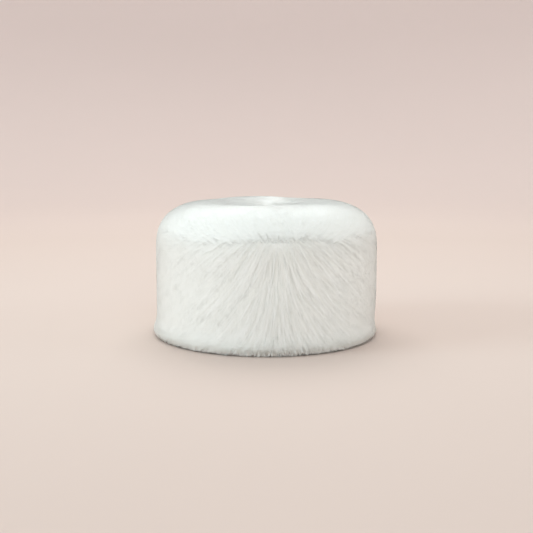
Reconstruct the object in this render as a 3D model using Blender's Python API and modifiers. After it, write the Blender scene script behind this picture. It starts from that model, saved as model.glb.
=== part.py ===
"""White fur drum hat: an oval hide band and a domed hide crown, each carrying deep straight fur.

Lengths are in metres, angles in radians and +Z is up. The origin is on the floor at the middle
of the hem. The front faces -Y. A turn is measured round the hat from the front towards +X, and
a fall is measured down the fur's outer form from the middle of the crown, the way hair falls.
"""

import math
import random
from collections import namedtuple

import bmesh
import bpy
import numpy as np

# The head opening and the hide
HEAD_WIDTH = 0.172
HEAD_LENGTH = 0.196
BAND_HEIGHT = 0.104
BAND_HIDE = 0.003
CROWN_HIDE = 0.003
CROWN_DOME = 0.0045
SEAT_GAP = 0.0003

# The fur on it
BAND_PILE = 0.0207
CROWN_PILE = 0.0212
CROWN_SINK = 0.0026
SHOULDER_DROP = 0.014
HEM_LIFT = 0.0015
HEM_ROUND = 0.005
HEM_FLARE = 0.0015
PARTING_DEPTH = 0.006
LOCK_LIFT = 0.0036

# How the rows of locks are laid
LOCKS_ROUND = 60
BAND_ROWS = 6
CROWN_ROWS = 5
LOCK_POINT = 0.5
LOCK_SHAG = 0.4
ROW_WAVE = 0.3
ROW_WAVES_ROUND = 5
PARTING_TURN = math.radians(8)
SWEEP_TURN = math.radians(20)
SHAG_SEED = 7

# How finely the hide's ovals and the fur's outer form are drawn
HIDE_SEGMENTS = 64
FORM_STEPS = 80

# Shapes of the shoulder, the sunk middle, the flare and the parting, as plain shares
SHOULDER_SPREAD = 4.6
SHOULDER_ROUND = 2.2
SINK_REACH = 0.75
FLARE_START = 0.8
CENTRE_PATCH = 0.3
PARTING_BACK_SHARE = 0.4
PARTING_NARROWNESS = 4
DOME_SHARES = (1.0, 2 / 3, 1 / 3, 0.0)

# One lock from its root to its tip: how far along its row, and how much of the
# lock's lift its ridge and its edges have there
Section = namedtuple("Section", "along ridge edge")
LOCK_SECTIONS = (
    Section(along=0.0, ridge=0.00, edge=0.00),
    Section(along=0.6, ridge=0.85, edge=0.30),
    Section(along=1.0, ridge=1.00, edge=0.40),
)

# Soft dents in the crown's fur: where each lies, its depth as a share of the
# crown's pile and its spread as a share of the hat's half width
Dent = namedtuple("Dent", "turn reach depth spread")
CROWN_DENTS = (
    Dent(turn=math.radians(149), reach=0.84, depth=0.20, spread=0.26),
    Dent(turn=math.radians(-128), reach=0.80, depth=0.09, spread=0.22),
    Dent(turn=math.radians(24), reach=0.62, depth=0.07, spread=0.20),
)

# Sizes that follow from the ones above
COLUMNS = 2 * LOCKS_ROUND
HALF_WIDTH = HEAD_WIDTH / 2 + BAND_HIDE + SEAT_GAP + BAND_PILE
HALF_LENGTH = HEAD_LENGTH / 2 + BAND_HIDE + SEAT_GAP + BAND_PILE
CROWN_SEAT = BAND_HEIGHT + SEAT_GAP
CROWN_FUR_SEAT = CROWN_SEAT + CROWN_HIDE + SEAT_GAP
TOP_HEIGHT = CROWN_FUR_SEAT + CROWN_DOME + CROWN_PILE


def clear_scene():
    """Remove every object, so that only the hat is left."""
    for thing in list(bpy.data.objects):
        bpy.data.objects.remove(thing, do_unlink=True)


def material(name, colour, roughness):
    """Make a plain material with one colour and roughness."""
    finish = bpy.data.materials.new(name)
    finish.use_nodes = True
    shader = finish.node_tree.nodes["Principled BSDF"]
    shader.inputs["Base Color"].default_value = (*colour, 1.0)
    shader.inputs["Roughness"].default_value = roughness
    shader.inputs["Metallic"].default_value = 0.0
    return finish


def add_object(mesh, name, finish, collection, sharp_angle):
    """Turn a finished bmesh into a smooth-shaded object of the hat."""
    data = bpy.data.meshes.new(name)
    mesh.to_mesh(data)
    mesh.free()
    data.shade_smooth()
    data.set_sharp_from_angle(angle=math.radians(sharp_angle))
    data.materials.append(finish)
    piece = bpy.data.objects.new(name, data)
    collection.objects.link(piece)
    return piece


def smooth_step(share):
    """Ease from 0 to 1, flat at both ends."""
    share = min(max(share, 0.0), 1.0)
    return share * share * (3 - 2 * share)


def dome_height(reach):
    """Give the crown hide's rise at a share of the way from its middle to its edge."""
    return CROWN_DOME * (1 - reach * reach)


def outer_form():
    """Draw the fur's outer form from the crown's middle over the shoulder to the hem.

    The result has three columns: the fall, the reach as a share of the hat's half sizes,
    and the height.
    """
    shoulder_base = BAND_HEIGHT - SHOULDER_DROP
    shoulder_rise = TOP_HEIGHT - shoulder_base
    hem_turn = HEM_LIFT + HEM_ROUND
    flare = HEM_FLARE / HALF_WIDTH
    points = []
    for angle in np.linspace(math.pi / 2, 0, FORM_STEPS):
        reach = abs(math.cos(angle)) ** (2 / SHOULDER_SPREAD)
        sunk = max(0.0, 1 - (reach / SINK_REACH) ** 2) ** 2
        height = shoulder_base + shoulder_rise * math.sin(angle) ** (2 / SHOULDER_ROUND)
        points.append((reach, height - CROWN_SINK * sunk))
    for share in np.linspace(0, 1, FORM_STEPS)[1:]:
        flared = flare * smooth_step((share - FLARE_START) / (1 - FLARE_START))
        points.append((1 + flared, shoulder_base + (hem_turn - shoulder_base) * share))
    for angle in np.linspace(0, math.pi / 2, FORM_STEPS // 4)[1:]:
        turned_in = HEM_ROUND / HALF_WIDTH * (1 - math.cos(angle))
        points.append((1 + flare - turned_in, hem_turn - HEM_ROUND * math.sin(angle)))
    reaches, heights = np.array(points).T
    steps = np.hypot(np.diff(reaches) * HALF_WIDTH, np.diff(heights))
    return np.column_stack((np.concatenate(([0.0], np.cumsum(steps))), reaches, heights))


FORM = outer_form()
HEM_FALL = FORM[-1, 0]


def fall_at_height(height):
    """Find the fall at which the outer form passes a height on its way down the side."""
    side = FORM[FORM_STEPS // 4:]
    return float(np.interp(-height, -side[:, 2], side[:, 0]))


def form_at(fall):
    """Give the outer form's reach and height at a fall, with its normal out and up."""
    step = 0.0004
    falls = np.clip([fall, fall - step, fall + step], 0.0, HEM_FALL)
    reach, reach_before, reach_after = np.interp(falls, FORM[:, 0], FORM[:, 1])
    height, height_before, height_after = np.interp(falls, FORM[:, 0], FORM[:, 2])
    out = height_before - height_after
    up = (reach_after - reach_before) * HALF_WIDTH
    size = math.hypot(out, up)
    return reach, height, out / size, up / size


def dent_depth(x, y):
    """Add up the soft dents of the crown's fur at a point seen from above."""
    depth = 0.0
    for dent in CROWN_DENTS:
        across = x - HALF_WIDTH * dent.reach * math.sin(dent.turn)
        along = y + HALF_LENGTH * dent.reach * math.cos(dent.turn)
        distance = math.hypot(across, along) / (HALF_WIDTH * dent.spread)
        depth += CROWN_PILE * dent.depth * math.exp(-distance * distance)
    return depth


def fur_point(turn, fall, depth):
    """Place a point at a depth under the fur's outer form."""
    reach, height, out, up = form_at(fall)
    x = HALF_WIDTH * reach * math.sin(turn)
    y = -HALF_LENGTH * reach * math.cos(turn)
    side_x = HALF_LENGTH * math.sin(turn)
    side_y = -HALF_WIDTH * math.cos(turn)
    side = math.hypot(side_x, side_y)
    x -= depth * out * side_x / side
    y -= depth * out * side_y / side
    return x, y, height - depth * up - dent_depth(x, y) * up


def hide_point(turn, offset, height, share=1.0):
    """Place a point on an oval round the head opening, an offset outside it."""
    x = (HEAD_WIDTH / 2 + offset) * share * math.sin(turn)
    y = -(HEAD_LENGTH / 2 + offset) * share * math.cos(turn)
    return x, y, height


def swept(turn, pull):
    """Lean a column of fur towards the parting where the pull is negative, or away from it."""
    around = turn - PARTING_TURN
    return turn + pull * math.sin(around) * (1 + math.cos(around)) / 2


def parting_depth(turn):
    """Give the depth of the parting between crown and band, deepest at the front."""
    front = ((1 + math.cos(turn - PARTING_TURN)) / 2) ** PARTING_NARROWNESS
    return PARTING_DEPTH * (PARTING_BACK_SHARE + (1 - PARTING_BACK_SHARE) * front)


def lock_rings(start, end, rows, pulls, first_depth, shag):
    """Lay rows of overlapping pointed locks down the outer form between two falls.

    Each row starts under the tips of the row above, and its ridges stand between theirs.
    The rows wander up and down a little between the level first and last ones.
    """
    length = (end - start) / rows

    def tip_reach(row, column):
        if row < 0:
            return 0.0
        if (column + row) % 2:
            return -LOCK_POINT * length / 2
        return LOCK_POINT * length * (0.5 + LOCK_SHAG * shag[row][column])

    def wander(turn, share):
        level = math.sin(math.pi * share)
        return ROW_WAVE * length * level * math.sin(ROW_WAVES_ROUND * turn + math.tau * share)

    rings = []
    for row in range(rows):
        for section in LOCK_SECTIONS:
            share = (row + section.along) / rows
            pull = pulls[0] + (pulls[1] - pulls[0]) * share
            ring = []
            for column in range(COLUMNS):
                turn = swept(math.tau * column / COLUMNS, pull)
                fall = start + share * (end - start) + wander(turn, share)
                if section.along == 0:
                    fall += tip_reach(row - 1, column)
                elif section.along == 1:
                    fall += tip_reach(row, column)
                lift = section.edge if (column + row) % 2 else section.ridge
                depth = LOCK_LIFT * (1 - lift * (1 + LOCK_SHAG * shag[row][column] / 2))
                if row == 0 and section.along == 0:
                    depth = first_depth(turn)
                ring.append(fur_point(turn, min(fall, end), depth))
            rings.append(ring)
    return rings


def merged_ring(point, keep):
    """Make a ring whose columns meet in groups, for places where the fur closes in."""
    return [point(math.tau * (column - column % keep) / COLUMNS) for column in range(COLUMNS)]


def skin(rings, closes_on_itself):
    """Wrap a flat grid into a closed skin whose corners are the points of the rings."""
    if closes_on_itself:
        rings = rings + rings[:1]
    mesh = bmesh.new()
    last = len(rings) - 1
    bmesh.ops.create_grid(mesh, x_segments=COLUMNS, y_segments=last, size=0.5)
    for corner in mesh.verts:
        column = round((corner.co.x + 0.5) * COLUMNS) % COLUMNS
        ring = round((corner.co.y + 0.5) * last)
        corner.co = rings[ring][column]
    bmesh.ops.remove_doubles(mesh, verts=mesh.verts, dist=0.00001)
    bmesh.ops.recalc_face_normals(mesh, faces=mesh.faces)
    bmesh.ops.triangulate(mesh, faces=mesh.faces)
    return mesh


def make_side_hide(finish, collection):
    """Make the band: an open oval sleeve of hide with a flat hem."""
    mesh = bmesh.new()
    bmesh.ops.create_circle(mesh, cap_ends=False, segments=HIDE_SEGMENTS, radius=1.0)
    for corner in mesh.verts:
        corner.co.x *= HEAD_WIDTH / 2
        corner.co.y *= HEAD_LENGTH / 2
    raised = bmesh.ops.extrude_edge_only(mesh, edges=mesh.edges[:])
    top = [item for item in raised["geom"] if isinstance(item, bmesh.types.BMVert)]
    bmesh.ops.translate(mesh, verts=top, vec=(0, 0, BAND_HEIGHT))
    bmesh.ops.recalc_face_normals(mesh, faces=mesh.faces)
    band = add_object(mesh, "side_hide", finish, collection, sharp_angle=40)
    wall = band.modifiers.new("hide thickness", "SOLIDIFY")
    wall.thickness = BAND_HIDE
    wall.offset = 1.0
    wall.use_even_offset = True
    wall.use_rim = True
    return band


def make_crown_hide(finish, collection):
    """Turn the crown: a shallow dome of hide that seats on the band's top edge."""
    edge = HEAD_WIDTH / 2 + BAND_HIDE
    profile = []
    for share in reversed(DOME_SHARES):
        profile.append((edge * share, 0, CROWN_SEAT + CROWN_HIDE + dome_height(share)))
    for share in DOME_SHARES:
        profile.append((edge * share, 0, CROWN_SEAT + dome_height(share)))
    mesh = bmesh.new()
    corners = [mesh.verts.new(point) for point in profile]
    for first, second in zip(corners, corners[1:]):
        mesh.edges.new((first, second))
    crown = add_object(mesh, "crown_hide", finish, collection, sharp_angle=40)
    crown.scale.y = (HEAD_LENGTH / 2 + BAND_HIDE) / edge
    turning = crown.modifiers.new("turned", "SCREW")
    turning.steps = HIDE_SEGMENTS
    turning.render_steps = HIDE_SEGMENTS
    turning.use_merge_vertices = True
    turning.merge_threshold = 0.00001
    return crown


def make_side_fur(finish, collection, seam_fall):
    """Make the band's fur: rows of locks from the parting down to a hem that turns under."""
    chance = random.Random(SHAG_SEED)
    shag = [[chance.uniform(-1, 1) for _ in range(COLUMNS)] for _ in range(BAND_ROWS)]
    last_tips = HEM_FALL - HEM_ROUND
    rings = lock_rings(seam_fall, last_tips, BAND_ROWS, (-SWEEP_TURN, SWEEP_TURN), parting_depth, shag)

    def under_hem(turn):
        return fur_point(swept(turn, SWEEP_TURN / 2), HEM_FALL, 0.0)[:2]

    inner = BAND_HIDE + SEAT_GAP
    turns = [math.tau * column / COLUMNS for column in range(COLUMNS)]
    rings.append([(*under_hem(turn), HEM_LIFT) for turn in turns])
    rings.append([hide_point(turn, inner, HEM_LIFT) for turn in turns])
    rings.append([hide_point(turn, inner, BAND_HEIGHT) for turn in turns])
    rings = [[(x, y, min(z, BAND_HEIGHT)) for x, y, z in ring] for ring in rings]
    return add_object(skin(rings, True), "side_fur", finish, collection, sharp_angle=50)


def make_crown_fur(finish, collection, seam_fall):
    """Make the crown's fur: a soft sunk middle and rows of locks that fall over the shoulder."""
    chance = random.Random(SHAG_SEED + 1)
    shag = [[chance.uniform(-1, 1) for _ in range(COLUMNS)] for _ in range(CROWN_ROWS)]
    patch = seam_fall * CENTRE_PATCH
    patch_depth = LOCK_LIFT / 2
    rings = [
        merged_ring(lambda turn: fur_point(turn, 0.0, patch_depth), COLUMNS),
        merged_ring(lambda turn: fur_point(turn, patch / 3, patch_depth), 4),
        merged_ring(lambda turn: fur_point(turn, patch * 2 / 3, patch_depth), 2),
    ]
    rings += lock_rings(patch, seam_fall, CROWN_ROWS, (0.0, -SWEEP_TURN), lambda turn: patch_depth, shag)

    def parting_point(turn):
        turn = swept(turn, -SWEEP_TURN)
        return *fur_point(turn, seam_fall, parting_depth(turn))[:2], CROWN_SEAT

    def dome_point(share):
        height = CROWN_FUR_SEAT + dome_height(share)
        return lambda turn: hide_point(turn, BAND_HIDE, height, share)

    inner = BAND_HIDE + SEAT_GAP
    rings.append(merged_ring(parting_point, 1))
    rings.append(merged_ring(lambda turn: hide_point(turn, inner, CROWN_SEAT), 1))
    rings.append(merged_ring(lambda turn: hide_point(turn, inner, CROWN_FUR_SEAT), 1))
    for share, keep in zip(DOME_SHARES[1:], (2, 4, COLUMNS)):
        rings.append(merged_ring(dome_point(share), keep))
    rings = [[(x, y, max(z, CROWN_SEAT)) for x, y, z in ring] for ring in rings]
    return add_object(skin(rings, False), "crown_fur", finish, collection, sharp_angle=50)


def main():
    """Build the hat's four pieces in a collection of their own."""
    clear_scene()
    collection = bpy.data.collections.new("fur_drum_hat")
    bpy.context.scene.collection.children.link(collection)
    make_side_hide(material("band hide", (0.74, 0.66, 0.55), 0.85), collection)
    make_crown_hide(material("crown hide", (0.72, 0.64, 0.53), 0.85), collection)
    make_side_fur(material("band fur", (0.88, 0.87, 0.84), 0.6), collection, fall_at_height(BAND_HEIGHT))
    make_crown_fur(material("crown fur", (0.90, 0.89, 0.86), 0.6), collection, fall_at_height(CROWN_SEAT))


main()
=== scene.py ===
"""White fur drum hat: long straight hair combed over an oval hide band and crown.

The hat's hide comes from the frame. The fur's outer form follows the frame's fur solids, and
the hair on it is joined mesh: tapered ribbons gathered into pointed locks that follow the lie
of the coat. A turn is measured round the hat from the front towards +X, and a fall is measured
down the outer form from the middle of the crown, the way hair falls.
"""

import math
from collections import namedtuple

import bmesh
import bpy
import numpy as np
from bpy.props import FloatProperty, FloatVectorProperty, IntProperty, PointerProperty
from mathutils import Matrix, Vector


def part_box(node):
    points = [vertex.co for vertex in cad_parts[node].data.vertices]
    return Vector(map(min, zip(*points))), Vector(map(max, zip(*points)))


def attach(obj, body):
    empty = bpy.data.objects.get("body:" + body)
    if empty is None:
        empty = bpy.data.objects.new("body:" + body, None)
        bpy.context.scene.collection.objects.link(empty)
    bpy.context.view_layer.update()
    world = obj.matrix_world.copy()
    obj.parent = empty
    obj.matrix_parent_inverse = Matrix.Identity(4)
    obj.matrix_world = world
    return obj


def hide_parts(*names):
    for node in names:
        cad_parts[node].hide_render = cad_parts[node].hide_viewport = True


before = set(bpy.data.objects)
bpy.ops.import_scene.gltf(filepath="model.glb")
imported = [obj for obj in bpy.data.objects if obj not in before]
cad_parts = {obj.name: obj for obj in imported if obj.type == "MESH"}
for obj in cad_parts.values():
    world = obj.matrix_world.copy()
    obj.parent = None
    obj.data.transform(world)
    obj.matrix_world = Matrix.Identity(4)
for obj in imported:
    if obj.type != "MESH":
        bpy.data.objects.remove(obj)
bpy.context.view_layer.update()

bl_info = {
    "name": "White fur drum hat",
    "version": (1, 0, 0),
    "blender": (4, 5, 0),
    "location": "View3D > Sidebar > Fur hat",
    "description": "Combs a drum-shaped fur hat over its hide and sets it on a pale studio floor",
    "category": "Add Mesh",
}

BAND_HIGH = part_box("side_hide")[1]
CROWN_LOW, CROWN_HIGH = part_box("crown_hide")
CROWN_FUR_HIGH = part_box("crown_fur")[1]
BAND_HALF_WIDTH = BAND_HIGH.x
BAND_HALF_LENGTH = BAND_HIGH.y
BAND_TOP = BAND_HIGH.z
SEAT_GAP = 0.0003

# The lie of the coat. On the band the hair fans out of the parting and sweeps round the
# sides, most of all close under the crown; on the crown it runs in towards the parting.
PARTING_TURN = math.radians(8)
FAN_TURN = math.radians(5)
FAN_SLOPE = 1.9
FAN_GROWTH = 0.85
FAN_SPLAY = 1.5
SPLAY_REACH = 0.007
GATHER_TURN = math.radians(15)
GATHER_REACH = 0.045
GATHER_NEAREST = 0.015
GATHER_GROWTH_LEFT = 0.9
GATHER_GROWTH_RIGHT = 0.5

# Slow waves in the comb's way: how far each bends the lie, its waves round the hat, its waves
# down the fall and where it starts
Wave = namedtuple("Wave", "bend around down start")
COMB_WAVES = (
    Wave(bend=math.radians(1.8), around=7, down=150, start=0.4),
    Wave(bend=math.radians(1.6), around=-11, down=230, start=2.1),
    Wave(bend=math.radians(1.4), around=17, down=-340, start=4.4),
    Wave(bend=math.radians(1.2), around=-29, down=-520, start=1.3),
)

# Soft dents in the crown's fur: where each lies, its depth as a share of the pile and
# its spread as a share of the hat's half width
Dent = namedtuple("Dent", "turn reach depth spread")
CROWN_DENTS = (
    Dent(turn=math.radians(149), reach=0.84, depth=0.20, spread=0.26),
    Dent(turn=math.radians(-128), reach=0.80, depth=0.09, spread=0.22),
    Dent(turn=math.radians(24), reach=0.62, depth=0.07, spread=0.20),
)

# Where the band's outer form swells or draws in, in metres and radians
Swell = namedtuple("Swell", "turn height out turn_spread height_spread")
BAND_SWELLS = (
    Swell(turn=math.radians(3), height=0.074, out=-0.0016, turn_spread=0.10, height_spread=0.024),
    Swell(turn=math.radians(-88), height=0.004, out=0.001, turn_spread=0.5, height_spread=0.009),
    Swell(turn=math.radians(88), height=0.006, out=-0.0022, turn_spread=0.6, height_spread=0.022),
)

# Shapes of the shoulder, the sunk middle and the hem, as plain shares, and how far the form
# runs in under the hem: as a share of the pile, and how much it rises on the way
SHOULDER_SPREAD = 4.83
SHOULDER_ROUND = 2.33
SINK_REACH = 0.75
FLARE_START = 0.8
UNDER_SHARE = 0.55
UNDER_RISE = 0.0015
FORM_STEPS = 160
HEM_STEPS = FORM_STEPS // 8

# The step for working out the form's normals, the size below which one is too short to trust
# and the least size that anything is divided by
NORMAL_STEP = 0.0006
POLE_LIMIT = 1e-9
LEAST = 1e-12

# The parting shows above the seam of the hide. Its groove: how narrow it is round the hat, its
# reach up and down, and the share of its depth that pulls a hair's tip in as well
PARTING_RISE = 0.005
PARTING_NARROWNESS = 40
PARTING_REACH = 0.0035
PARTING_AT_TIPS = 0.35

# The crown's hair ends over the band: its overhang at the parting and elsewhere, how far single
# ends stray up and down from that, and the least share of its length that a lock keeps there
OVERHANG_FRONT = 0.001
OVERHANG_ROUND = 0.03
OVERHANG_STRAY = 0.0022
STRAY_UP = -0.6
STRAY_DOWN = 1
OVERHANG_NARROWNESS = 12
LEAST_KEPT = 0.15
LEAST_FALL = 1e-5

# The whorl that the crown's hair grows out of: its place, its reach and its swirl. The lean to
# the parting starts at a share of the fall down to it and grows over another share.
WHORL = (0.004, 0.016)
WHORL_REACH = 0.035
WHORL_SWIRL = math.radians(25)
LEAN_START = 0.2
LEAN_BLEND = 0.5

# Where locks root: how far above the parting the band's start and below it the crown's stop,
# how far above the hem the band's stop, and how raggedly the band's top rows start
BAND_START = 0.001
CROWN_STOP = 0.006
BAND_STOP = 0.004
RAGGED = 0.0015
RAGGED_REACH = 0.006

# How deep hair roots: past the underfur's depth, and as a share of the full depth at the
# whorl, elsewhere on the crown, close under the parting and on the band's back and sides
ROOT_PAST_UNDERFUR = 0.0003
WHORL_ROOTS = 0.1
CROWN_ROOTS = 0.15
PARTING_ROOTS = 0.35
PARTING_ROOTS_REACH = 0.008
SIDE_ROOTS = 0.35

# How much single locks vary: their length against the set one, their heading and their bend
LENGTHS = (0.72, 1.25)
STRAY = math.radians(3)
CURL = math.radians(5)

# Where the band's locks end near the hem, against the hem's own fall, the least length that
# is left to them and the least share of a lean that counts in working that out
HEM_ENDS = (-0.004, 0.0025)
LEAST_LENGTH = 0.006
LEAST_DROP = 0.25

# How full locks are, as a share of the front's: on the band's back and sides and on the crown
SIDE_BODY = 0.1
CROWN_BODY = 0.15

# The flat of the crown, as shares of the fall down to the parting: where its hair starts to
# grow full and over how long, and the shares of the locks and of the underfur's depth there
FLAT_END = 0.42
FLAT_BLEND = 0.28
FLAT_LOCKS = 0.55
FLAT_UNDERFUR = 0.25

# The last stretch of the coat above the floor: its height, how far and how fast the hair tucks
# under there, its least height above the floor and how far the underfur draws back
TUCK_HEIGHT = 0.013
TUCK = 0.35
TUCK_GROWTH = 1.5
CLEARANCE = 0.0004
HEM_RECESS = 0.003

# Guard locks lie over the coat: their share of all locks, their length and gather against the
# others', how far they stand out and how narrow their zone at the front is
GUARD_SHARE = 0.17
GUARD_LENGTH = 1.3
GUARD_GATHER = 1.25
GUARD_WIDTH = 0.65
GUARD_LIFT = 0.0002
GUARD_NARROWNESS = 9

# Where the guard locks' tones start at the front, and where the others' tones end there: painted
# light on the guard locks that lie on top, and painted shade on the locks under them
GUARD_TONE_AND_LIGHT = 0.8
COAT_TONE_AND_SHADE = 0.65

# How steeply a lock rises out of its root: a power, for guard locks and for the others
GUARD_STEEPNESS = 4.0
STEEPNESS = 2.5

# How unevenly locks lie on each other, as a power, and the gather of a lock with no body
RELIEF_GROWTH = 1.3
LEAST_GATHER = 0.3

# A full lock's cross-section: how much lower its edges lie than its middle, how far its edges
# are rolled over and how far loose hairs stand out of it
LOCK_ARCH = 0.00012
LOCK_ROLL = math.radians(6.5)
LOCK_FLUFF = 0.0001

# How the arch of a lock flattens to its tip, how its gather grows along it, and how the gather
# and the width vary from lock to lock
TIP_FLATTENING = 0.4
TIP_GATHER_GROWTH = 1.4
GATHERS = (0.7, 1.3)
LOCK_WIDTHS = (0.8, 1.2)

# How single hairs vary in a lock: their shift along it, their wander across it, their cut, their
# width, their roll and the lock's share of their tone
SHIFT = 0.005
WANDER = 0.0004
CUTS = (0.78, 1.0)
HAIR_WIDTHS = (0.75, 1.25)
STRAY_ROLL = 0.4
# The lock's share of the tone sets the coat's streaks: random tone, and painted shade between locks
LOCK_TONE = 0.7

# What the lights look at, and the lights: where each hangs, its size, how wide it spreads and
# the setting of its colour. All but the top one spread little, to spare the floor near them.
LIGHT_TARGET = (0, 0, 0.07)
SIDE_SPREAD = math.radians(60)
TOP_SPREAD = math.radians(160)
Lamp = namedtuple("Lamp", "place size spread colour")
LAMPS = {
    "left": Lamp(place=(-2.0, -0.6, 0.72), size=1.2, spread=SIDE_SPREAD, colour="light"),
    "front": Lamp(place=(0.3, -2.2, 0.62), size=1.3, spread=SIDE_SPREAD, colour="light"),
    "right": Lamp(place=(2.0, -0.4, 0.72), size=1.2, spread=SIDE_SPREAD, colour="light"),
    "top": Lamp(place=(-0.1, 1.1, 1.7), size=1.4, spread=TOP_SPREAD, colour="air"),
}

# Stations along one hair, from its root to its tip
STATIONS = 5
ALONG = np.linspace(0, 1, STATIONS)

# A hair's width along it, how far its shading follows its own face instead of the form, the
# margin of its chart, and what starts the random draws
TAPER = np.interp(ALONG, (0, 0.3, 0.75, 1), (0.85, 1.0, 0.7, 0.0))
BAND_FACING = 0.08
CROWN_FACING = 0.06
CHART_EDGE = 0.02
BAND_SEED = 11
CROWN_SEED = 12

# The underfur's grid, how far it runs in under the hem, its least height above the floor, the
# gap between band and crown, where its inside meets the crown hide's rim, how sharply it turns
# where its shading breaks, and how close its points are welded
COLUMNS = 240
ROWS = 48
UNDER_REACH = 0.002
LEAST_HEIGHT = 0.0005
JOINT_GAP = 0.00003
RIM_SHARE = 0.4
SHARP_EDGE = math.radians(50)
SKIN_WELD = 0.00001

# The hair's finish: the darkest and palest share of its colour on band and crown, the darkest
# one's tint, where along a hair the tip's colour is reached, and its surface. The darker tones
# are random tone and painted shade as well: they stand for the shade in the gaps between locks,
# and the darkest one's warm tint paints the warm colour of that shade.
BAND_TONES_AND_SHADE = (0.925, 1.0)
# The crown's tones are a little paler than the band's: painted light against the shade its fur takes at a
# grazing angle
CROWN_TONES_LIGHT_AND_SHADE = (0.945, 0.99)
WARM_SHADE_TINT = (1, 0.998, 0.965)
TIP_REACHED = 0.6
HAIR_ROUGHNESS = 0.55
HAIR_GLOSS = 0.15
HAIR_SHEEN = 0.1
HAIR_SHEEN_ROUGHNESS = 0.5

# The naps of underfur and hide: the scale and detail of their mottle, its darkest and palest
# share of the colour and where they are reached, the scale, detail, strength and depth of
# their relief, and their surface
Nap = namedtuple("Nap", "scale detail dark pale low high fine fine_detail strength depth "
                        "roughness gloss sheen")
UNDERFUR_NAP = Nap(scale=160, detail=4, dark=0.94, pale=1.0, low=0.3, high=0.7, fine=900,
                   fine_detail=3, strength=0.5, depth=0.001, roughness=0.85, gloss=0.1, sheen=0.0)
HIDE_NAP = Nap(scale=28, detail=6, dark=0.78, pale=1.12, low=0.3, high=0.75, fine=1400,
               fine_detail=2, strength=0.4, depth=0.0006, roughness=0.9, gloss=0.15, sheen=0.3)

# The studio's paper: the flat floor's radius, the bend up to the backdrop, the backdrop's top,
# how finely it is spun and welded, where the floor's colour starts to change and where it is the
# backdrop's, its mottle, and the width of the camera's sensor
FLOOR_RADIUS = 1.5
BEND_RADIUS = 1.2
BEND_STEPS = 12
BACKDROP_TOP = 1.5
BOWL_SEGMENTS = 96
BOWL_WELD = 0.0001
CHANGE_START = 0.9
CHANGE_END = 2.75
PAPER_SCALE = 3
PAPER_DETAIL = 3
PAPER_DARK = 0.98
PAPER_ROUGHNESS = 0.95
SENSOR_WIDTH = 36


def length_setting(name, description, default, least, most):
    """Declare a length that the panel can set."""
    return FloatProperty(name=name, description=description, default=default, min=least, max=most,
                         unit="LENGTH", subtype="DISTANCE", precision=5)


def power_setting(name, description, default):
    """Declare a lamp's power that the panel can set."""
    return FloatProperty(name=name, description=description, default=default, min=0, max=500,
                         unit="POWER")


def colour_setting(name, description, default):
    """Declare a colour of a surface or of light that the panel can set."""
    return FloatVectorProperty(name=name, description=description, default=default, size=3,
                               min=0, max=2, subtype="COLOR")


class FurSizes(bpy.types.PropertyGroup):
    """Sizes of the fur and of the hair that it is made of."""

    pile: length_setting("Pile", "Depth of the fur outside the hide", 0.021, 0.008, 0.04)
    loft: length_setting(
        "Crown loft", "How far loose hair stands above the crown's solid fur", 0.002, 0.0, 0.01)
    sink: length_setting(
        "Crown sink", "How far the middle of the crown is sunk below its rim", 0.0045, 0.0, 0.01)
    shoulder_drop: length_setting(
        "Shoulder drop", "How far below the crown seam the shoulder starts to round", 0.0156, 0.0, 0.04)
    hem_lift: length_setting(
        "Hem lift", "Height of the fur's underside above the floor", 0.0018, 0.0, 0.01)
    hem_round: length_setting(
        "Hem rounding", "Radius at which the fur turns under at the hem", 0.0025, 0.001, 0.01)
    hem_flare: length_setting("Hem flare", "How far the fur flares out at the hem", 0.0014, 0.0, 0.006)
    parting: length_setting(
        "Parting depth", "Depth of the parting between crown and band at the front", 0.002, 0.0, 0.015)
    underfur: length_setting(
        "Underfur depth", "Depth of the dense underfur below the outer form", 0.0009, 0.0005, 0.015)
    band_hair: length_setting(
        "Band hair length", "Visible length of the hair on the band", 0.042, 0.01, 0.05)
    crown_hair: length_setting(
        "Crown hair length", "Visible length of the hair on the crown", 0.036, 0.01, 0.05)
    hair_width: length_setting(
        "Hair width", "Width of one drawn hair at its root", 0.00028, 0.0001, 0.002)
    lock_width: length_setting("Lock width", "Width of one lock of hair at its root", 0.002, 0.001, 0.01)
    lock_relief: length_setting(
        "Lock relief", "How far locks lie above and below each other", 0.00012, 0.0, 0.01)
    crown_relief: length_setting(
        "Crown relief", "How far the crown's locks lie above and below each other", 0.00003, 0.0, 0.01)
    gather: FloatProperty(
        name="Gather", description="How far the hairs of a band lock draw together at its tip",
        default=0.27, min=0.0, max=1.0, subtype="FACTOR")
    crown_gather: FloatProperty(
        name="Crown gather", description="How far the hairs of a crown lock draw together at its tip",
        default=0.1, min=0.0, max=1.0, subtype="FACTOR")
    band_locks: IntProperty(
        name="Band locks", description="Number of locks on the band", default=12000, min=100, max=20000)
    crown_locks: IntProperty(
        name="Crown locks", description="Number of locks on the crown", default=6000, min=100, max=20000)
    hairs_per_lock: IntProperty(
        name="Hairs per lock", description="Number of drawn hairs in one lock", default=7, min=3, max=40)


class FurColours(bpy.types.PropertyGroup):
    """Colours of the fur and the hide."""

    # The root's colour, darker and warmer than the tip's, is partly painted shade of the coat's depth
    root: colour_setting("Hair root", "Colour of the hair near the hide", (0.93, 0.925, 0.885))
    tip: colour_setting("Hair tip", "Colour of the hair at its tip", (0.965, 0.96, 0.93))
    underfur: colour_setting(
        "Underfur", "Colour of the dense underfur between the locks", (0.935, 0.93, 0.895))
    hide: colour_setting("Hide", "Colour of the hide's flesh side", (0.70, 0.61, 0.49))


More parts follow.
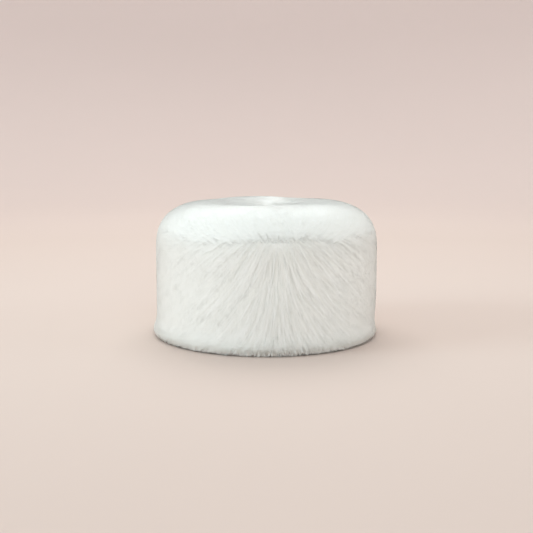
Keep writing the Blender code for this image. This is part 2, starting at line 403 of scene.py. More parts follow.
class StudioLook(bpy.types.PropertyGroup):
    """Floor colour, light and view of the studio."""

    floor: colour_setting("Floor", "Colour of the floor", (0.705, 0.585, 0.52))
    backdrop: colour_setting(
        "Backdrop", "Colour of the backdrop that the floor turns up into", (0.89, 0.77, 0.73))
    air: colour_setting("Air", "Colour of the light from all round", (0.97, 1.0, 1.01))
    light: colour_setting(
        "Light", "Colour of side and front lights, cooled against the warm floor", (0.76, 1.0, 1.09))
    ambient: FloatProperty(
        name="Ambient", description="Strength of the light from all round", default=0.79, min=0, max=3)
    left: power_setting("Left", "Power of the soft light at the left", 2.85)
    front: power_setting("Front", "Power of the soft light behind the camera", 2.2)
    right: power_setting("Right", "Power of the soft light at the right", 0.75)
    top: power_setting("Top", "Power of the soft light above and behind", 12.5)
    lens: FloatProperty(
        name="Lens", description="Focal length of the camera in millimetres", default=75.3, min=20, max=300)
    distance: length_setting(
        "Camera distance", "Distance from the camera to the hat's middle", 1.11, 0.3, 5)
    height: length_setting("Camera height", "Height of the camera above the floor", 0.2177, 0.02, 2)
    pitch: FloatProperty(
        name="Camera pitch", description="How far the camera looks down",
        default=math.radians(7.76), min=-1.5, max=1.5, unit="ROTATION", subtype="ANGLE")


def smooth_step(share):
    """Ease from 0 to 1, flat at both ends."""
    share = np.clip(share, 0.0, 1.0)
    return share * share * (3 - 2 * share)


def unit(vectors):
    """Scale vectors to length 1."""
    return vectors / np.maximum(np.linalg.norm(vectors, axis=-1, keepdims=True), LEAST)


class OuterForm:
    """The fur's outer form, from the crown's middle over the shoulder and under the hem."""

    def __init__(self, sizes):
        """Draw the form's profile from the frame's hide and the fur's sizes."""
        self.half_width = BAND_HALF_WIDTH + sizes.pile
        self.half_length = BAND_HALF_LENGTH + sizes.pile
        self.pile = sizes.pile
        base = BAND_TOP - sizes.shoulder_drop
        hem_turn = sizes.hem_lift + sizes.hem_round
        flare = sizes.hem_flare / self.half_width
        angle = np.linspace(math.pi / 2, 0, FORM_STEPS)
        reach = np.abs(np.cos(angle)) ** (2 / SHOULDER_SPREAD)
        sunk = np.clip(1 - (reach / SINK_REACH) ** 2, 0, None) ** 2
        rise = np.abs(np.sin(angle)) ** (2 / SHOULDER_ROUND)
        height = base + (CROWN_FUR_HIGH.z + sizes.loft - base) * rise - sizes.sink * sunk
        share = np.linspace(0, 1, FORM_STEPS)[1:]
        flared = flare * smooth_step((share - FLARE_START) / (1 - FLARE_START))
        under = np.linspace(0, math.pi / 2, HEM_STEPS)[1:]
        inward = np.linspace(0, 1, HEM_STEPS)[1:]
        turned = 1 + flare - sizes.hem_round / self.half_width * (1 - np.cos(under))
        pulled = turned[-1] - inward * sizes.pile * UNDER_SHARE / self.half_width
        self.reaches = np.concatenate((reach, 1 + flared, turned, pulled))
        self.heights = np.concatenate((
            height,
            base + (hem_turn - base) * share,
            hem_turn - sizes.hem_round * np.sin(under),
            sizes.hem_lift + UNDER_RISE * inward,
        ))
        steps = np.hypot(np.diff(self.reaches) * self.half_width, np.diff(self.heights))
        self.falls = np.concatenate(([0.0], np.cumsum(steps)))
        self.end = self.falls[-1]
        self.hem = self.falls[2 * FORM_STEPS - 2 + HEM_STEPS - 1]
        side = slice(FORM_STEPS // 4, 2 * FORM_STEPS - 1)
        self.seam = self.fall_at(BAND_TOP, side)
        self.parting = self.fall_at(BAND_TOP + PARTING_RISE, side)

    def fall_at(self, height, side):
        """Give the fall at which the form's side passes a height."""
        return float(np.interp(-height, -self.heights[side], self.falls[side]))

    def place(self, turn, fall, depth):
        """Give the points at a depth below the form, and the form's normals there."""
        points, normals = self.surface(turn, fall)
        down = self.surface(turn, fall + NORMAL_STEP)[0] - self.surface(turn, fall - NORMAL_STEP)[0]
        round_step = NORMAL_STEP / self.half_width
        along = self.surface(turn + round_step, fall)[0] - self.surface(turn - round_step, fall)[0]
        leaning = np.cross(down, along)
        size = np.linalg.norm(leaning, axis=-1, keepdims=True)
        sure = size > POLE_LIMIT
        leaning = np.where(sure, leaning / np.maximum(size, POLE_LIMIT), normals)
        leaning = leaning * np.sign(np.sum(leaning * normals, axis=-1, keepdims=True) + POLE_LIMIT)
        return points - leaning * np.asarray(depth)[..., None], leaning

    def surface(self, turn, fall):
        """Give the form's points with its dents and swells, and the plain profile's normals."""
        step = NORMAL_STEP
        reach = np.interp(fall, self.falls, self.reaches)
        height = np.interp(fall, self.falls, self.heights)
        after = np.clip(fall + step, 0, self.end)
        before = np.clip(fall - step, 0, self.end)
        up = np.interp(after, self.falls, self.reaches) - np.interp(before, self.falls, self.reaches)
        up = up * self.half_width
        out = np.interp(before, self.falls, self.heights) - np.interp(after, self.falls, self.heights)
        size = np.maximum(np.hypot(out, up), POLE_LIMIT)
        out, up = out / size, up / size
        sin, cos = np.sin(turn), np.cos(turn)
        side = unit(np.stack((self.half_length * sin, -self.half_width * cos), axis=-1))
        normal = np.stack((side[..., 0] * out, side[..., 1] * out, up), axis=-1)
        x = self.half_width * reach * sin
        y = -self.half_length * reach * cos
        point = np.stack((x, y, height - self.dents(x, y) * up), axis=-1)
        return point + normal * self.swell(turn, height)[..., None], normal

    def dents(self, x, y):
        """Add up the soft dents of the crown at points seen from above."""
        depth = np.zeros_like(x)
        for dent in CROWN_DENTS:
            across = x - self.half_width * dent.reach * math.sin(dent.turn)
            along = y + self.half_length * dent.reach * math.cos(dent.turn)
            distance = (across ** 2 + along ** 2) / (self.half_width * dent.spread) ** 2
            depth += self.pile * dent.depth * np.exp(-distance)
        return depth

    def swell(self, turn, height):
        """Add up where the band's form swells or draws in."""
        out = np.zeros(np.broadcast(turn, height).shape)
        for swell in BAND_SWELLS:
            away = np.angle(np.exp(1j * (turn - swell.turn))) / swell.turn_spread
            up = (height - swell.height) / swell.height_spread
            out += swell.out * np.exp(-away ** 2 - up ** 2)
        return out


def front_share(turn, narrowness):
    """Give 1 at the parting's middle and 0 at the back."""
    return ((1 + np.cos(turn - PARTING_TURN)) / 2) ** narrowness


def band_lean(turn, below):
    """Give how far the band's hair leans from straight down, at a distance below the crown."""
    around = turn - FAN_TURN
    slope = FAN_SLOPE * np.sign(np.sin(around)) * np.abs(np.sin(around)) ** FAN_GROWTH
    splay = 1 + FAN_SPLAY * np.exp(-np.maximum(below, 0) / SPLAY_REACH)
    return np.arctan(slope * splay * np.abs(np.cos(around / 2)))


def comb_wave(turn, fall):
    """Add up the slow waves that bend the lie of the coat."""
    return sum(wave.bend * np.sin(wave.around * turn + wave.down * fall + wave.start)
               for wave in COMB_WAVES)


def crown_lean(turn, above):
    """Give how far the crown's hair leans in to the parting, at a distance above its edge."""
    side = np.sin(turn - GATHER_TURN)
    growth = np.where(side > 0, GATHER_GROWTH_RIGHT, GATHER_GROWTH_LEFT)
    near = GATHER_REACH / (np.maximum(above, 0) + GATHER_NEAREST)
    pull = near * np.sign(side) * np.abs(side) ** growth
    return -np.arctan(pull * np.abs(np.cos((turn - GATHER_TURN) / 2)))


def scattered(rng, low, high, count, aspect):
    """Scatter points evenly over a rectangle: one in each cell of a grid, jittered."""
    rows = max(1, int(round(math.sqrt(count / aspect))))
    columns = max(1, int(round(count / rows)))
    row, column = np.divmod(np.arange(rows * columns), columns)
    across = (column + rng.random(rows * columns)) / columns
    down = (row + rng.random(rows * columns)) / rows
    return low[0] + (high[0] - low[0]) * across, low[1] + (high[1] - low[1]) * down


def guides_from(form, turns, falls, rest, rng):
    """Stand the locks' guides on the form, with their tangents and sideways directions."""
    points, normals = form.place(turns, falls, np.zeros_like(falls))
    tangents = unit(np.gradient(points, axis=1))
    sideways = unit(np.cross(tangents, normals))
    same = np.ones(len(rest))
    return {
        "point": points, "normal": normals, "tangent": tangents, "sideways": sideways,
        "rest": rest, "tone": rng.random(len(rest)), "fall": falls, "turn": turns,
        "rooting": same, "steepness": STEEPNESS * same, "gather": same, "body": same, "wide": same,
    }


def walk_band(form, turn, fall, length, stray, curl):
    """Walk the band's locks along the lie of the coat, and give their turns and falls."""
    per_turn = np.hypot(form.half_width * np.cos(turn), form.half_length * np.sin(turn))
    step = length / (STATIONS - 1)
    turns, falls = [turn], [fall]
    for station in range(1, STATIONS):
        lean = band_lean(turns[-1], falls[-1] - form.parting) + comb_wave(turns[-1], falls[-1])
        lean = lean + stray + curl * (ALONG[station] - 0.5)
        turns.append(turns[-1] + np.sin(lean) * step / per_turn)
        falls.append(np.minimum(falls[-1] + np.cos(lean) * step, form.end))
    return np.stack(turns, axis=1), np.stack(falls, axis=1)


def band_guides(sizes, form, rng):
    """Lay the band's locks from the parting to under the hem, and mark out the guard locks."""
    start, stop = form.parting - BAND_START, form.hem - BAND_STOP
    perimeter = math.pi * (form.half_width + form.half_length)
    turn, fall = scattered(rng, (-math.pi, start), (math.pi, stop), sizes.band_locks,
                           perimeter / (stop - start))
    count = len(turn)
    guard = rng.random(count) < GUARD_SHARE
    fall = fall + rng.normal(0, RAGGED, count) * np.exp(-(fall - start) / RAGGED_REACH)
    length = sizes.band_hair * rng.uniform(*LENGTHS, count) * np.where(guard, GUARD_LENGTH, 1)
    stray = rng.normal(0, STRAY, count)
    curl = rng.normal(0, CURL, count)
    drop = np.maximum(np.cos(band_lean(turn, fall - form.parting)), LEAST_DROP)
    last = form.hem + rng.uniform(*HEM_ENDS, count)
    length = np.minimum(length, np.maximum((last - fall) / drop, LEAST_LENGTH))
    turns, falls = walk_band(form, turn, fall, length, stray, curl)

    front = front_share(turn, GUARD_NARROWNESS)
    body = SIDE_BODY + (1 - SIDE_BODY) * front
    rest = sizes.lock_relief * body * rng.random(count) ** RELIEF_GROWTH
    rest = np.where(guard, -GUARD_LIFT * front, rest)
    guides = guides_from(form, turns, falls, rest, rng)
    tone = guides["tone"]
    # At the front the guard locks on top are painted paler and the locks under them darker: painted light
    # and shade of the layers, over their random tone
    layered_light_and_shade = np.where(guard, GUARD_TONE_AND_LIGHT + (1 - GUARD_TONE_AND_LIGHT) * tone, COAT_TONE_AND_SHADE * tone)
    tone = tone + (layered_light_and_shade - tone) * front
    guides["tone"] = 0.5 + (tone - 0.5) * body
    guides["body"] = body
    guides["steepness"] = np.where(guard, GUARD_STEEPNESS, STEEPNESS)
    guides["wide"] = np.where(guard, GUARD_WIDTH, 1.0)
    gathered = LEAST_GATHER + (1 - LEAST_GATHER) * body
    guides["gather"] = np.where(guard, GUARD_GATHER, 1.0) * gathered
    below = smooth_step((fall - start) / PARTING_ROOTS_REACH)
    deeper = PARTING_ROOTS + (1 - PARTING_ROOTS) * below
    guides["rooting"] = deeper * (SIDE_ROOTS + (1 - SIDE_ROOTS) * front)
    return guides


def crown_heading(form, spot):
    """Head outward from a whorl a little behind the middle, leaning as the coat lies."""
    whorl = spot - np.array(WHORL)
    turn = np.arctan2(spot[:, 0], -spot[:, 1])
    share = np.hypot(spot[:, 0], spot[:, 1]) / form.parting
    swirl = WHORL_SWIRL * np.exp(-(np.hypot(whorl[:, 0], whorl[:, 1]) / WHORL_REACH) ** 2)
    lean = crown_lean(turn, form.parting * (1 - share))
    lean = lean * smooth_step((share - LEAN_START) / LEAN_BLEND)
    away = np.arctan2(whorl[:, 1], whorl[:, 0])
    return away + lean + swirl + comb_wave(turn, share * form.parting) * share


def walk_crown(form, place, length, stray, curl):
    """Walk the crown's locks out from their roots, and give their places seen from above."""
    step = (length / (STATIONS - 1))[:, None]
    spots = [place]
    for station in range(1, STATIONS):
        angle = crown_heading(form, spots[-1]) + stray + curl * (ALONG[station] - 0.5)
        spots.append(spots[-1] + step * np.stack((np.cos(angle), np.sin(angle)), axis=-1))
    return np.stack(spots, axis=1)


def flat_growth(form, fall):
    """Give 0 on the flat of the crown and 1 where its hair and underfur are full."""
    return smooth_step((fall / form.parting - FLAT_END) / FLAT_BLEND)


def crown_guides(sizes, form, rng):
    """Lay the crown's locks out from its middle, over the shoulder and in to the parting."""
    edge = form.parting - CROWN_STOP
    x, y = scattered(rng, (-edge, -edge), (edge, edge), int(sizes.crown_locks * 4 / math.pi), 1.0)
    root = np.hypot(x, y)
    grown = FLAT_LOCKS + (1 - FLAT_LOCKS) * flat_growth(form, root)
    inside = (root < edge) & (rng.random(len(x)) < grown)
    place = np.stack((x[inside], y[inside]), axis=-1)
    count = len(place)
    length = sizes.crown_hair * rng.uniform(*LENGTHS, count)
    stray = rng.normal(0, STRAY, count)
    curl = rng.normal(0, CURL, count)

    path = walk_crown(form, place, length, stray, curl)
    falls = np.linalg.norm(path, axis=-1)
    ends = np.arctan2(path[:, -1, 0], -path[:, -1, 1])
    around = 1 - front_share(ends, OVERHANG_NARROWNESS)
    overhang = OVERHANG_FRONT + OVERHANG_ROUND * around * rng.random(count)
    overhang = overhang + OVERHANG_STRAY * rng.uniform(STRAY_UP, STRAY_DOWN, count)
    reached = form.parting + overhang
    room = (reached - falls[:, 0]) / np.maximum(falls[:, -1] - falls[:, 0], LEAST_FALL)
    kept = np.where(falls[:, -1] > reached, np.clip(room, LEAST_KEPT, 1), 1)
    path = walk_crown(form, place, length * kept, stray, curl)
    falls = np.linalg.norm(path, axis=-1)
    turns = np.unwrap(np.arctan2(path[..., 0], -path[..., 1]), axis=1)

    rest = sizes.crown_relief * rng.random(count) ** RELIEF_GROWTH
    guides = guides_from(form, turns, falls, rest, rng)
    from_whorl = np.linalg.norm(place - np.array(WHORL), axis=-1)
    spread = smooth_step(from_whorl / (2 * WHORL_REACH))
    guides["rooting"] = WHORL_ROOTS + (CROWN_ROOTS - WHORL_ROOTS) * spread
    guides["body"] = np.full(count, CROWN_BODY)
    return guides


def parting_groove(sizes, form, turn, fall):
    """Give how deep the parting's groove is."""
    near = np.exp(-((fall - form.parting) / PARTING_REACH) ** 2)
    return sizes.parting * front_share(turn, PARTING_NARROWNESS) * near


def hair_depth(guides, sizes, form, across, fluff):
    """Give how deep each hair of a lock lies below the outer form at each station."""
    body = guides["body"][:, None, None]
    arch = LOCK_ARCH * body * across ** 2 * (1 - TIP_FLATTENING * ALONG)
    rest = guides["rest"][:, None, None] + arch - fluff * body
    rooted = (sizes.underfur + ROOT_PAST_UNDERFUR) * guides["rooting"][:, None, None]
    rise = (1 - ALONG) ** guides["steepness"][:, None, None]
    groove = parting_groove(sizes, form, guides["turn"][:, None, :], guides["fall"][:, None, :])
    drawn = PARTING_AT_TIPS + (1 - PARTING_AT_TIPS) * rise
    return rest + (rooted - rest) * rise + groove * drawn


def comb(guides, sizes, form, rng, gathered):
    """Gather hairs into each lock: spread at the root, rounded over and drawn to a point."""
    locks = len(guides["rest"])
    hairs = sizes.hairs_per_lock
    shape = (locks, hairs, 1)
    across = rng.uniform(-1, 1, shape)
    shift = rng.uniform(-SHIFT, SHIFT, shape)
    fluff = LOCK_FLUFF * np.abs(rng.normal(0, 1, shape))
    wander = rng.normal(0, WANDER, shape)
    gathered = gathered * guides["gather"][:, None, None]
    gather = 1 - gathered * rng.uniform(*GATHERS, (locks, 1, 1)) * ALONG ** TIP_GATHER_GROWTH
    half = sizes.lock_width / 2 * rng.uniform(*LOCK_WIDTHS, (locks, 1, 1))
    half = half * guides["wide"][:, None, None]
    spread = across * half * gather + wander * np.sin(math.pi * ALONG)
    depth = hair_depth(guides, sizes, form, across, fluff)
    point = guides["point"][:, None] + guides["sideways"][:, None] * spread[..., None]
    point = point + guides["tangent"][:, None] * shift[..., None]
    point = point - guides["normal"][:, None] * depth[..., None]
    cut = (1 - rng.uniform(*CUTS, shape)[..., None]) * (STATIONS - 1)
    before = point[..., -2:-1, :]
    point[..., -1:, :] -= (point[..., -1:, :] - before) * cut
    point[..., 2] = np.maximum(point[..., 2], CLEARANCE)
    tuck = TUCK * np.clip(1 - point[..., 2:] / TUCK_HEIGHT, 0, 1) ** TUCK_GROWTH
    normal = unit(guides["normal"][:, None] - tuck * np.array((0.0, 0.0, 1.0)))
    sideways = np.broadcast_to(guides["sideways"][:, None], point.shape)
    body = guides["body"][:, None]
    roll = LOCK_ROLL * body[..., None] * (across + rng.normal(0, STRAY_ROLL, shape))
    own = 0.5 + (rng.random((locks, hairs)) - 0.5) * body
    tone = LOCK_TONE * guides["tone"][:, None] + (1 - LOCK_TONE) * own
    width = sizes.hair_width * rng.uniform(*HAIR_WIDTHS, (locks, hairs))
    return {
        "point": point.reshape(-1, STATIONS, 3), "normal": normal.reshape(-1, STATIONS, 3),
        "sideways": sideways.reshape(-1, STATIONS, 3), "roll": roll.reshape(-1, 1),
        "tone": tone.reshape(-1), "width": width.reshape(-1),
    }


def ribbon_corners(hair, facing):
    """Give the corners of tapered ribbons that lie flat on the coat, and their shading."""
    point, outward = hair["point"], hair["normal"]
    along = unit(np.gradient(point, axis=1))
    roll = hair["roll"][..., None]
    edge = hair["sideways"] * np.cos(roll) + outward * np.sin(roll)
    edge = unit(edge - along * np.sum(edge * along, axis=-1, keepdims=True))
    face = np.cross(edge, along)
    face = face * np.sign(np.sum(face * outward, axis=-1, keepdims=True))
    half = (hair["width"][:, None] / 2 * TAPER)[..., None] * edge
    pairs = np.stack((point - half, point + half), axis=2)[:, :-1].reshape(len(point), -1, 3)
    corners = np.concatenate((pairs, point[:, -1:]), axis=1)
    shaded = unit(outward * (1 - facing) + face * facing)
    return corners, np.concatenate((np.repeat(shaded[:, :-1], 2, axis=1), shaded[:, -1:]), axis=1)


def ribbon_mesh(name, hair, facing):
    """Join hairs into one mesh of ribbons, charted for the colour along them and their tones."""
    corners, shades = ribbon_corners(hair, facing)
    count = len(corners)
    per_hair = 2 * (STATIONS - 1) + 1
    quads = [(2 * k, 2 * k + 1, 2 * k + 3, 2 * k + 2) for k in range(STATIONS - 2)]
    faces = [corner for quad in quads for corner in quad]
    faces += [per_hair - 3, per_hair - 2, per_hair - 1]
    sizes = [4] * len(quads) + [3]
    loops = (np.arange(count)[:, None] * per_hair + np.array(faces)).ravel()
    starts = np.arange(count)[:, None] * len(faces) + np.concatenate(([0], np.cumsum(sizes)[:-1]))

    mesh = bpy.data.meshes.new(name)
    mesh.vertices.add(count * per_hair)
    mesh.vertices.foreach_set("co", corners.astype(np.float32).ravel())
    mesh.loops.add(len(loops))
    mesh.loops.foreach_set("vertex_index", loops.astype(np.int32))
    mesh.polygons.add(starts.size)
    mesh.polygons.foreach_set("loop_start", starts.astype(np.int32).ravel())
    mesh.update(calc_edges=True)
    mesh.shade_smooth()

    place = np.concatenate((np.repeat(ALONG[:-1], 2), [1.0]))
    chart = np.empty((count, per_hair, 2), dtype=np.float32)
    chart[..., 0] = hair["tone"][:, None]
    chart[..., 1] = place
    chart = CHART_EDGE + (1 - 2 * CHART_EDGE) * chart
    layer = mesh.uv_layers.new(name="OFBake")
    layer.uv.foreach_set("vector", chart.reshape(-1, 2)[loops].ravel())
    mesh.normals_split_custom_set_from_vertices(shades.reshape(-1, 3).tolist())
    return mesh


def add_piece(mesh, name, finish):
    """Add a finished mesh to the hat, riding on its one body."""
    piece = bpy.data.objects.new(name, mesh)
    bpy.context.scene.collection.objects.link(piece)
    piece.data.materials.append(finish)
    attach(piece, "root")
    return piece


def pick(hair, chosen):
    """Take the chosen hairs out of a head of hair."""
    return {name: values[chosen] for name, values in hair.items()}


def blank_finish(name, roughness, gloss):
    """Start a procedural finish, and give it with its nodes, its links and its shader."""
    finish = bpy.data.materials.new(name)
    finish.use_nodes = True
    nodes, links = finish.node_tree.nodes, finish.node_tree.links
    shader = nodes["Principled BSDF"]
    shader.inputs["Roughness"].default_value = roughness
    shader.inputs["Specular IOR Level"].default_value = gloss
    return finish, nodes, links, shader


def add_noise(nodes, links, where, scale, detail):
    """Lay a noise over a piece's own space and give its strength."""
    noise = nodes.new("ShaderNodeTexNoise")
    noise.inputs["Scale"].default_value = scale
    noise.inputs["Detail"].default_value = detail
    links.new(where.outputs["Object"], noise.inputs["Vector"])
    return noise.outputs["Fac"]


def add_ramp(nodes, links, share, low, high):
    """Grade a share between two places and their colours, and give the ramp's node."""
    ramp = nodes.new("ShaderNodeValToRGB")
    for element, (place, colour) in zip(ramp.color_ramp.elements, (low, high)):
        element.position = place
        element.color = (*colour, 1)
    links.new(share, ramp.inputs["Fac"])
    return ramp


def fur_finish(name, root, tip, tones):
    """Silky white hair: paler from root to tip, each hair lighter or darker, partly as painted shade."""
    finish, nodes, links, shader = blank_finish(name, HAIR_ROUGHNESS, HAIR_GLOSS)
    chart = nodes.new("ShaderNodeUVMap")
    chart.uv_map = "OFBake"
    split = nodes.new("ShaderNodeSeparateXYZ")
    links.new(chart.outputs["UV"], split.inputs["Vector"])
    fade = add_ramp(nodes, links, split.outputs["Y"], (0.0, root), (TIP_REACHED, tip))
    fade.color_ramp.interpolation = "B_SPLINE"
    darkest, palest = tones
    # The darkest tone is tinted warm: painted shade, in the warm colour of the shade between locks
    dark = [part * darkest for part in WARM_SHADE_TINT]
    tone = add_ramp(nodes, links, split.outputs["X"], (0.0, dark), (1.0, [palest] * 3))
    tint = nodes.new("ShaderNodeVectorMath")
    tint.operation = "MULTIPLY"
    links.new(fade.outputs["Color"], tint.inputs[0])
    links.new(tone.outputs["Color"], tint.inputs[1])
    links.new(tint.outputs["Vector"], shader.inputs["Base Color"])
    shader.inputs["Sheen Weight"].default_value = HAIR_SHEEN
    shader.inputs["Sheen Roughness"].default_value = HAIR_SHEEN_ROUGHNESS
    return finish


def nap_finish(name, colour, nap):
    """Matt nap of underfur or hide: mottled in its tone, with a fine relief."""
    finish, nodes, links, shader = blank_finish(name, nap.roughness, nap.gloss)
    where = nodes.new("ShaderNodeTexCoord")
    mottle = add_noise(nodes, links, where, nap.scale, nap.detail)
    dark = [part * nap.dark for part in colour]
    pale = [min(1, part * nap.pale) for part in colour]
    shade = add_ramp(nodes, links, mottle, (nap.low, dark), (nap.high, pale))
    links.new(shade.outputs["Color"], shader.inputs["Base Color"])
    bump = nodes.new("ShaderNodeBump")
    bump.inputs["Strength"].default_value = nap.strength
    bump.inputs["Distance"].default_value = nap.depth
    links.new(add_noise(nodes, links, where, nap.fine, nap.fine_detail), bump.inputs["Height"])
    links.new(bump.outputs["Normal"], shader.inputs["Normal"])
    shader.inputs["Sheen Weight"].default_value = nap.sheen
    return finish


def skin_mesh(name, rings, closes_on_itself):
    """Wrap a flat grid into a closed skin whose corners are the points of the rings."""
    if closes_on_itself:
        rings = rings + rings[:1]
    columns, last = len(rings[0]), len(rings) - 1
    skin = bmesh.new()
    bmesh.ops.create_grid(skin, x_segments=columns, y_segments=last, size=0.5)
    for corner in skin.verts:
        column = round((corner.co.x + 0.5) * columns) % columns
        corner.co = rings[round((corner.co.y + 0.5) * last)][column]
    bmesh.ops.remove_doubles(skin, verts=skin.verts, dist=SKIN_WELD)
    bmesh.ops.recalc_face_normals(skin, faces=skin.faces)
    mesh = bpy.data.meshes.new(name)
    skin.to_mesh(mesh)
    skin.free()
    mesh.shade_smooth()
    mesh.set_sharp_from_angle(angle=SHARP_EDGE)
    return mesh


def hide_ring(turns, offset, height, share=1.0):
    """Place an oval ring an offset outside the hide."""
    x = (BAND_HALF_WIDTH + offset) * share * np.sin(turns)
    y = -(BAND_HALF_LENGTH + offset) * share * np.cos(turns)
    return np.stack((x, y, np.full_like(x, height)), axis=-1)


def underfur_ring(sizes, form, turns, fall, depth, low, high):
    """Place a ring of the underfur's skin at a fall and a depth, between two heights."""
    recess = HEM_RECESS * smooth_step((fall - form.hem) / TUCK_HEIGHT + 1)
    depth = depth + parting_groove(sizes, form, turns, fall) + recess
    points = form.place(turns, np.full_like(turns, fall), depth)[0]
    points[:, 2] = np.clip(points[:, 2], low, high)
    return points


def band_rings(sizes, form, turns):
    """Give the rings of the band's underfur, from the seam down, in under the hem and back up."""
    rings = [underfur_ring(sizes, form, turns, fall, sizes.underfur, LEAST_HEIGHT, BAND_TOP)
             for fall in np.linspace(form.seam, form.hem + UNDER_REACH, ROWS)]
    rings.append(hide_ring(turns, SEAT_GAP, sizes.hem_lift + UNDER_REACH))
    rings.append(hide_ring(turns, SEAT_GAP, BAND_TOP))
    return rings


def crown_rings(sizes, form, turns):
    """Give the rings of the crown's underfur, from its middle out and back in over the hide."""
    seat = BAND_TOP + JOINT_GAP
    rings = []
    for fall in np.linspace(0, form.seam, ROWS):
        full = FLAT_UNDERFUR + (1 - FLAT_UNDERFUR) * flat_growth(form, fall)
        rings.append(underfur_ring(sizes, form, turns, fall, sizes.underfur * full, seat, math.inf))
    rim = CROWN_LOW.z + (CROWN_HIGH.z - CROWN_LOW.z) * RIM_SHARE + SEAT_GAP
    dome = CROWN_HIGH.z - rim + 2 * SEAT_GAP
    rings += [hide_ring(turns, SEAT_GAP, seat), hide_ring(turns, SEAT_GAP, rim)]
    rings += [hide_ring(turns, 0.0, rim + dome * (1 - share ** 2), share)
              for share in (2 / 3, 1 / 3, 0.0)]
    return rings


class HAT_OT_underfur(bpy.types.Operator):
    """Pad the hide with the dense underfur that the long hair grows through"""

    bl_idname = "hat.underfur"
    bl_label = "Add underfur"

    def execute(self, context):
        """Make the underfur of band and crown and let them stand for the frame's fur."""
        sizes, colours = context.scene.fur_sizes, context.scene.fur_colours
        form = OuterForm(sizes)
        turns = np.linspace(0, math.tau, COLUMNS, endpoint=False)
        finish = nap_finish("underfur", colours.underfur, UNDERFUR_NAP)
        skin = skin_mesh("underfur_band", band_rings(sizes, form, turns), True)
        piece = add_piece(skin, "underfur_band", finish)
        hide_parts("side_fur")
        skin = skin_mesh("underfur_crown", crown_rings(sizes, form, turns), False)
        piece = add_piece(skin, "underfur_crown", finish)
        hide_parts("crown_fur")
        return {"FINISHED"}


class HAT_OT_band_fur(bpy.types.Operator):
    """Comb the long hair of the band, fanned out of the parting and swept round the sides"""

    bl_idname = "hat.band_fur"
    bl_label = "Comb band fur"

    def execute(self, context):
        """Comb the band in four quarters, named by the way that they face."""
        sizes, colours = context.scene.fur_sizes, context.scene.fur_colours
        form = OuterForm(sizes)
        rng = np.random.default_rng(BAND_SEED)
        hair = comb(band_guides(sizes, form, rng), sizes, form, rng, sizes.gather)
        finish = fur_finish("band fur", colours.root, colours.tip, BAND_TONES_AND_SHADE)
        root = hair["point"][:, 0]
        quarter = np.round(np.arctan2(root[:, 0], -root[:, 1]) / (math.pi / 2)).astype(int) % 4
        for side, name in enumerate(("front", "right", "back", "left")):
            mesh = ribbon_mesh(f"band_fur_{name}", pick(hair, quarter == side), BAND_FACING)
            add_piece(mesh, f"band_fur_{name}", finish)
        return {"FINISHED"}


class HAT_OT_crown_fur(bpy.types.Operator):
    """Comb the long hair of the crown over the shoulder and in to the parting"""

    bl_idname = "hat.crown_fur"
    bl_label = "Comb crown fur"

    def execute(self, context):
        """Comb the crown in a front and a back half."""
        sizes, colours = context.scene.fur_sizes, context.scene.fur_colours
        form = OuterForm(sizes)
        rng = np.random.default_rng(CROWN_SEED)
        hair = comb(crown_guides(sizes, form, rng), sizes, form, rng, sizes.crown_gather)
        # The crown's paler tones paint light against the shade of its fur seen at a grazing angle
        finish = fur_finish("crown fur", colours.root, colours.tip, CROWN_TONES_LIGHT_AND_SHADE)
        in_front = hair["point"][:, 0, 1] < 0
        for name, chosen in (("front", in_front), ("back", ~in_front)):
            mesh = ribbon_mesh(f"crown_fur_{name}", pick(hair, chosen), CROWN_FACING)
            add_piece(mesh, f"crown_fur_{name}", finish)
        return {"FINISHED"}


class HAT_OT_hide(bpy.types.Operator):
    """Give the hide of band and crown its suede finish"""

    bl_idname = "hat.hide"
    bl_label = "Finish hide"

    def execute(self, context):
        """Finish the frame's own hide pieces, which stay where they are."""
        colour = context.scene.fur_colours.hide
        finish = nap_finish("suede hide", colour, HIDE_NAP)
        for node in ("side_hide", "crown_hide"):
            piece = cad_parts[node]
            piece.data.materials.clear()
            piece.data.materials.append(finish)
        return {"FINISHED"}


def area_light(name, lamp, power, colour):
    """Hang a square soft light that looks at the hat."""
    data = bpy.data.lights.new(name, "AREA")
    data.size = lamp.size
    data.spread = lamp.spread
    data.energy = power
    data.color = colour
    light = bpy.data.objects.new(name, data)
    light.location = lamp.place
    light.visible_camera = False
    aim = Vector(LIGHT_TARGET) - Vector(lamp.place)
    light.rotation_euler = aim.to_track_quat("-Z", "Y").to_euler()
    bpy.context.scene.collection.objects.link(light)


def backdrop_finish(floor, backdrop):
    """Pale matt paper, barely mottled, paler far out where it gets less light."""
    finish, nodes, links, shader = blank_finish("studio paper", PAPER_ROUGHNESS, 0.0)
    where = nodes.new("ShaderNodeTexCoord")
    away = nodes.new("ShaderNodeVectorMath")
    away.operation = "LENGTH"
    links.new(where.outputs["Object"], away.inputs[0])
    rise = nodes.new("ShaderNodeMapRange")
    rise.inputs["From Min"].default_value = CHANGE_START
    rise.inputs["From Max"].default_value = CHANGE_END
    links.new(away.outputs["Value"], rise.inputs["Value"])
    blend = nodes.new("ShaderNodeMix")
    blend.data_type = "RGBA"
    blend.inputs["A"].default_value = (*floor, 1)
    blend.inputs["B"].default_value = (*backdrop, 1)
    links.new(rise.outputs["Result"], blend.inputs["Factor"])
    shade = nodes.new("ShaderNodeMapRange")
    shade.inputs["To Min"].default_value = PAPER_DARK
    links.new(add_noise(nodes, links, where, PAPER_SCALE, PAPER_DETAIL), shade.inputs["Value"])
    tint = nodes.new("ShaderNodeVectorMath")
    tint.operation = "SCALE"
    links.new(blend.outputs["Result"], tint.inputs[0])
    links.new(shade.outputs["Result"], tint.inputs["Scale"])
    links.new(tint.outputs["Vector"], shader.inputs["Base Color"])
    return finish


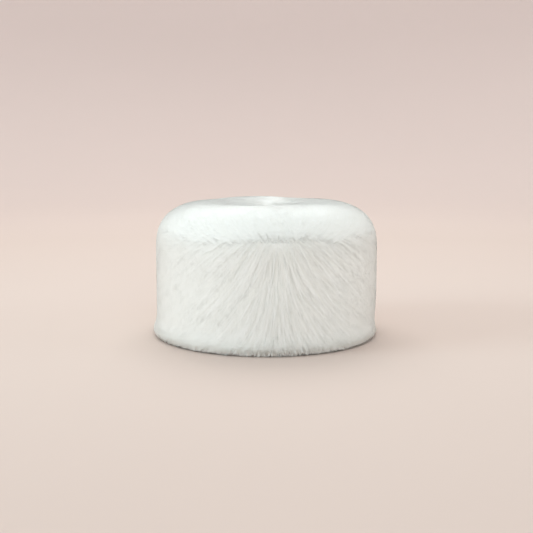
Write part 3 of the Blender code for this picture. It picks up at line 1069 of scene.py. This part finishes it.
def add_floor(look):
    """Spin the floor and the backdrop that it turns up into."""
    outline = [(0.0, 0.0), (FLOOR_RADIUS, 0.0)]
    for step in range(1, BEND_STEPS + 1):
        angle = math.pi / 2 * step / BEND_STEPS
        outline.append((FLOOR_RADIUS + BEND_RADIUS * math.sin(angle),
                        BEND_RADIUS * (1 - math.cos(angle))))
    outline.append((FLOOR_RADIUS + BEND_RADIUS, BACKDROP_TOP))
    bowl = bmesh.new()
    corners = [bowl.verts.new((x, 0, z)) for x, z in outline]
    edges = [bowl.edges.new(pair) for pair in zip(corners, corners[1:])]
    bmesh.ops.spin(bowl, geom=corners + edges, cent=(0, 0, 0), axis=(0, 0, 1),
                   angle=math.tau, steps=BOWL_SEGMENTS, use_merge=True)
    bmesh.ops.remove_doubles(bowl, verts=bowl.verts, dist=BOWL_WELD)
    bmesh.ops.recalc_face_normals(bowl, faces=bowl.faces)
    mesh = bpy.data.meshes.new("studio_floor")
    bowl.to_mesh(mesh)
    bowl.free()
    mesh.shade_smooth()
    mesh.materials.append(backdrop_finish(look.floor, look.backdrop))
    floor = bpy.data.objects.new("studio_floor", mesh)
    bpy.context.scene.collection.objects.link(floor)


def add_camera(look):
    """Set the camera up in front of the hat."""
    data = bpy.data.cameras.new("camera")
    data.lens = look.lens
    data.sensor_width = SENSOR_WIDTH
    camera = bpy.data.objects.new("camera", data)
    camera.location = (0, -look.distance, look.height)
    camera.rotation_euler = (math.pi / 2 - look.pitch, 0, 0)
    bpy.context.scene.collection.objects.link(camera)
    bpy.context.scene.camera = camera


class HAT_OT_studio(bpy.types.Operator):
    """Set the pale floor, the soft light and the camera"""

    bl_idname = "hat.studio"
    bl_label = "Set studio"

    def execute(self, context):
        """Lay the floor, fill the air with light, hang the lamps and set the camera."""
        scene = context.scene
        look = scene.studio_look
        add_floor(look)
        scene.world = bpy.data.worlds.new("studio air")
        scene.world.use_nodes = True
        air = scene.world.node_tree.nodes["Background"]
        air.inputs["Color"].default_value = (*look.air, 1)
        air.inputs["Strength"].default_value = look.ambient
        for name, lamp in LAMPS.items():
            area_light(name, lamp, getattr(look, name), getattr(look, lamp.colour))
        add_camera(look)
        scene.view_settings.view_transform = "Standard"
        return {"FINISHED"}


class HAT_PT_panel(bpy.types.Panel):
    """Lists the hat's steps and settings in the sidebar"""

    bl_idname = "HAT_PT_panel"
    bl_label = "Fur hat"
    bl_space_type = "VIEW_3D"
    bl_region_type = "UI"
    bl_category = "Fur hat"

    def draw(self, context):
        """Draw a button for each step and a field for each setting."""
        column = self.layout.column(align=True)
        for step in STEPS:
            column.operator(step.bl_idname)
        for group in (context.scene.fur_sizes, context.scene.fur_colours, context.scene.studio_look):
            box = self.layout.box()
            for name in group.__annotations__:
                box.prop(group, name)


STEPS = (HAT_OT_hide, HAT_OT_underfur, HAT_OT_band_fur, HAT_OT_crown_fur, HAT_OT_studio)
CLASSES = (FurSizes, FurColours, StudioLook, *STEPS, HAT_PT_panel)


def register():
    """Register the hat's classes and settings."""
    for item in CLASSES:
        bpy.utils.register_class(item)
    bpy.types.Scene.fur_sizes = PointerProperty(type=FurSizes)
    bpy.types.Scene.fur_colours = PointerProperty(type=FurColours)
    bpy.types.Scene.studio_look = PointerProperty(type=StudioLook)


def unregister():
    """Take the hat's settings and classes away again."""
    del bpy.types.Scene.studio_look
    del bpy.types.Scene.fur_colours
    del bpy.types.Scene.fur_sizes
    for item in reversed(CLASSES):
        bpy.utils.unregister_class(item)


def main():
    """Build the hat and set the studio."""
    register()
    bpy.ops.hat.hide()
    bpy.ops.hat.underfur()
    bpy.ops.hat.band_fur()
    bpy.ops.hat.crown_fur()
    bpy.ops.hat.studio()
    bpy.context.view_layer.update()


if __name__ == "__main__":
    main()
